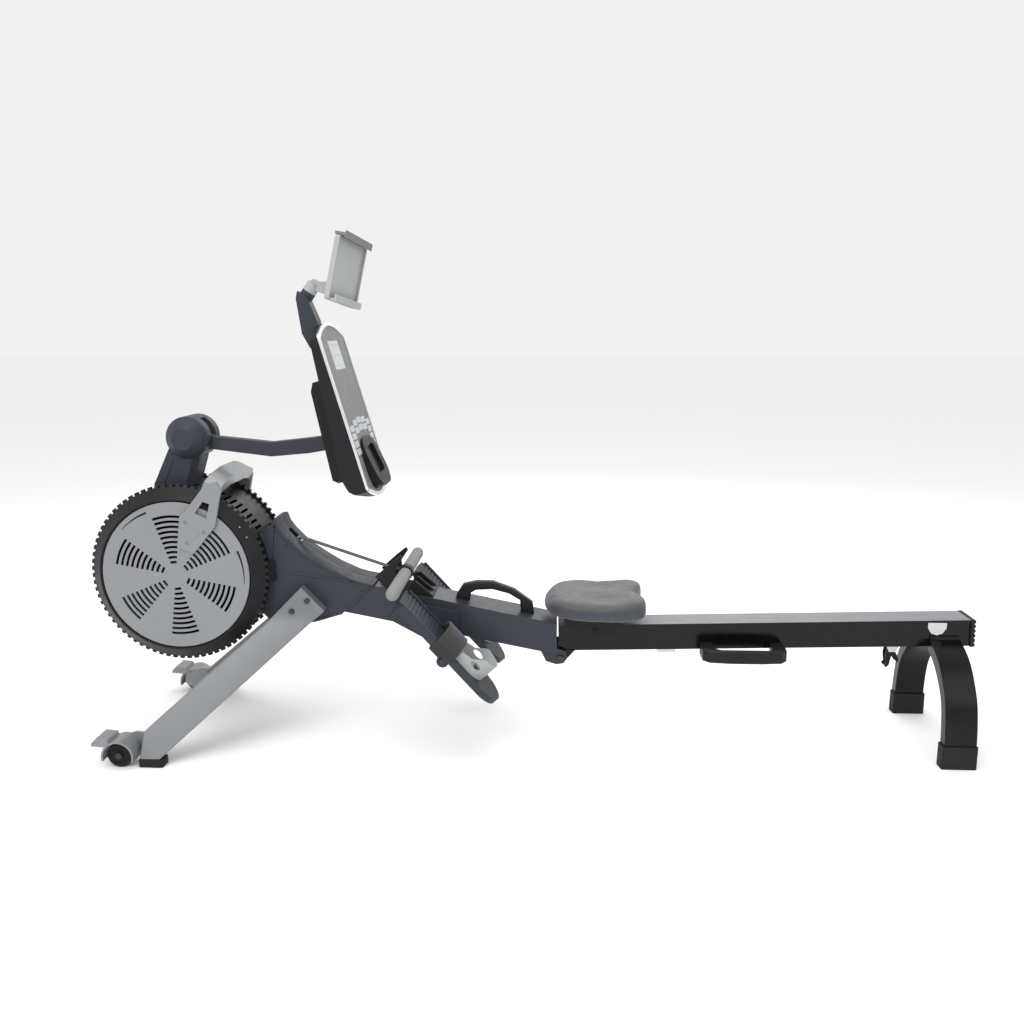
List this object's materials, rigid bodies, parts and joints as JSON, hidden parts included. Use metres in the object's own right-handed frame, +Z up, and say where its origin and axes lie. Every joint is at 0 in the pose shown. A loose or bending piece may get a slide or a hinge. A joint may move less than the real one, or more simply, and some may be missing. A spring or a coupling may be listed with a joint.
{
  "type": "rowing machine",
  "caption": "Folding air rower: caged fan with turning damper, sloping frame, rail with rolling seat, footrests with straps, pull bar, console and tablet holder on an arm.",
  "frame": {"origin": "centre of the whole machine on the floor it stands on", "axes": "+X along the rail from the fan end to the free end, +Y across towards the side of the rail without the carrying handle, +Z up"},
  "size_m": [2.2045, 0.558, 1.2646],
  "materials": {
    "frame_paint": "satin",
    "rail_paint": "gloss",
    "leg_paint": "satin",
    "cover_plastic": "satin",
    "black_plastic": "satin",
    "silver_plastic": "satin",
    "grey_plastic": "matte",
    "bright_trim": "gloss",
    "key_plastic": "matte",
    "display": "gloss",
    "zinc": "brushed",
    "steel": "turned",
    "rubber": "matte",
    "roller": "satin",
    "foam": "matte foam",
    "upholstery": "grained",
    "webbing": "woven"
  },
  "bodies": {
    "frame": {"main_frame": "frame_paint", "drive_cover_left": "cover_plastic", "drive_cover_right": "cover_plastic", "fan_shroud_left": "black_plastic", "fan_shroud_right": "black_plastic", "fan_forks": "frame_paint", "drive_axles": "steel", "drive_belt": "rubber", "recoil_spring": "black_plastic", "front_leg_left": "leg_paint", "front_leg_right": "leg_paint", "front_foot_pads": "rubber", "wheel_fenders": "silver_plastic", "console_mast": "cover_plastic", "hub_caps": "black_plastic", "handle_cradle": "black_plastic", "carry_handle": "black_plastic", "pedal_bracket": "frame_paint", "frame_bolts": "zinc", "fold_pin": "zinc"},
    "fan": {"fan_wheel": "black_plastic"},
    "drive_pulley": {"drive_pulley": "black_plastic"},
    "spool": {"strap_spool": "black_plastic"},
    "brake": {"magnet_bracket": "steel"},
    "damper": {"damper_disc_left": "silver_plastic", "damper_disc_right": "silver_plastic", "resistance_handle": "silver_plastic"},
    "wheel_left": {"transport_wheel_left": "rubber"},
    "wheel_right": {"transport_wheel_right": "rubber"},
    "console_arm": {"console_arm": "cover_plastic"},
    "console": {"console_back": "black_plastic", "console_bezel": "bright_trim", "console_face": "grey_plastic", "console_screen": "display", "console_keys": "key_plastic", "console_pod": "grey_plastic", "tablet_arm": "grey_plastic"},
    "tablet": {"tablet_tray": "grey_plastic"},
    "clip": {"tablet_clip": "grey_plastic"},
    "handle": {"handlebar": "steel", "handle_grips": "foam", "pull_strap": "webbing"},
    "footrest_left": {"pedal_left": "black_plastic", "toe_strap_left": "webbing"},
    "footrest_right": {"pedal_right": "black_plastic", "toe_strap_right": "webbing"},
    "heel_left": {"heel_cup_left": "grey_plastic"},
    "heel_right": {"heel_cup_right": "grey_plastic"},
    "rail": {"rail": "rail_paint", "rail_end_cap": "black_plastic", "rail_handle": "black_plastic", "rear_leg_left": "rail_paint", "rear_leg_right": "rail_paint", "rear_feet": "rubber", "rail_fittings": "zinc"},
    "latch": {"latch_hooks": "black_plastic"},
    "seat": {"seat_cushion": "upholstery", "seat_carriage": "steel"},
    "rollers_front": {"seat_rollers_front": "roller"},
    "rollers_rear": {"seat_rollers_rear": "roller"}
  },
  "joints": [
    {"name": "fan_spin", "type": "hinge", "parent": "frame", "child": "fan", "pos_m": [-0.878, 0, 0.44], "axis": [0, 1, 0], "continuous": true},
    {"name": "drive_pulley_spin", "type": "hinge", "parent": "frame", "child": "drive_pulley", "pos_m": [-0.598, 0, 0.408], "axis": [0, 1, 0], "continuous": true},
    {"name": "spool_spin", "type": "hinge", "parent": "frame", "child": "spool", "pos_m": [-0.598, 0, 0.408], "axis": [0, 1, 0], "range_deg": [0, 2100]},
    {"name": "magnet_brake", "type": "hinge", "parent": "frame", "child": "brake", "pos_m": [-0.728, 0.058, 0.345], "axis": [0, 1, 0], "range_deg": [0, 10]},
    {"name": "resistance_turn", "type": "hinge", "parent": "frame", "child": "damper", "pos_m": [-0.878, 0, 0.44], "axis": [0, 1, 0], "range_deg": [-5, 16]},
    {"name": "wheel_left_spin", "type": "hinge", "parent": "frame", "child": "wheel_left", "pos_m": [-0.986, -0.252, 0.031], "axis": [0, 1, 0], "continuous": true},
    {"name": "wheel_right_spin", "type": "hinge", "parent": "frame", "child": "wheel_right", "pos_m": [-0.986, 0.252, 0.031], "axis": [0, 1, 0], "continuous": true},
    {"name": "console_arm_lift", "type": "hinge", "parent": "frame", "child": "console_arm", "pos_m": [-0.858, 0, 0.772], "axis": [0, -1, 0], "range_deg": [0, 35]},
    {"name": "console_tilt", "type": "hinge", "parent": "console_arm", "child": "console", "pos_m": [-0.49, 0, 0.762], "axis": [0, 1, 0], "range_deg": [-12, 12]},
    {"name": "tablet_swivel", "type": "hinge", "parent": "console", "child": "tablet", "pos_m": [-0.548, 0, 1.126], "axis": [0.5549, 0, 0.8319], "range_deg": [-32, 58]},
    {"name": "tablet_clip_slide", "type": "slide", "parent": "tablet", "child": "clip", "axis": [0.199, 0.0868, 0.9761], "range_m": [0, 0.05], "stiffness_N_per_m": 120, "springref_m": -0.02},
    {"name": "handle_pull", "type": "slide", "parent": "frame", "child": "handle", "axis": [0.927, 0, 0.375], "range_m": [0, 1], "stiffness_N_per_m": 12, "springref_m": -2, "deforming": ["pull_strap"]},
    {"name": "footrest_left_tilt", "type": "hinge", "parent": "frame", "child": "footrest_left", "pos_m": [-0.2106, -0.144, 0.2552], "axis": [0, 1, 0], "range_deg": [-15, 0]},
    {"name": "footrest_right_tilt", "type": "hinge", "parent": "frame", "child": "footrest_right", "pos_m": [-0.2106, 0.144, 0.2552], "axis": [0, 1, 0], "range_deg": [-15, 0]},
    {"name": "heel_left_slide", "type": "slide", "parent": "footrest_left", "child": "heel_left", "axis": [0.673, 0, -0.7396], "range_m": [0, 0.035]},
    {"name": "heel_right_slide", "type": "slide", "parent": "footrest_right", "child": "heel_right", "axis": [0.673, 0, -0.7396], "range_m": [0, 0.035]},
    {"name": "rail_fold", "type": "hinge", "parent": "frame", "child": "rail", "pos_m": [0.073, 0, 0.215], "axis": [0, 1, 0], "range_deg": [0, 110]},
    {"name": "latch_swing", "type": "hinge", "parent": "rail", "child": "latch", "pos_m": [0.908, 0, 0.24363], "axis": [0, 1, 0], "range_deg": [0, 25], "stiffness_Nm_per_rad": 0.8, "springref_deg": -11.46},
    {"name": "seat_slide", "type": "slide", "parent": "rail", "child": "seat", "axis": [0.9996, 0, 0.0276], "range_m": [0, 0.68]},
    {"name": "rollers_front_spin", "type": "hinge", "parent": "seat", "child": "rollers_front", "pos_m": [0.103, 0, 0.31672], "axis": [0, 1, 0], "range_deg": [0, 2600]},
    {"name": "rollers_rear_spin", "type": "hinge", "parent": "seat", "child": "rollers_rear", "pos_m": [0.213, 0, 0.31975], "axis": [0, 1, 0], "range_deg": [0, 2600]}
  ],
  "couplings": [
    {"joint": "drive_pulley_spin", "follows": "fan_spin", "ratio": 0.25},
    {"joint": "spool_spin", "follows": "handle_pull", "rad_per_m": 35.714},
    {"joint": "rollers_front_spin", "follows": "seat_slide", "rad_per_m": 66.667},
    {"joint": "rollers_rear_spin", "follows": "seat_slide", "rad_per_m": 66.667}
  ]
}
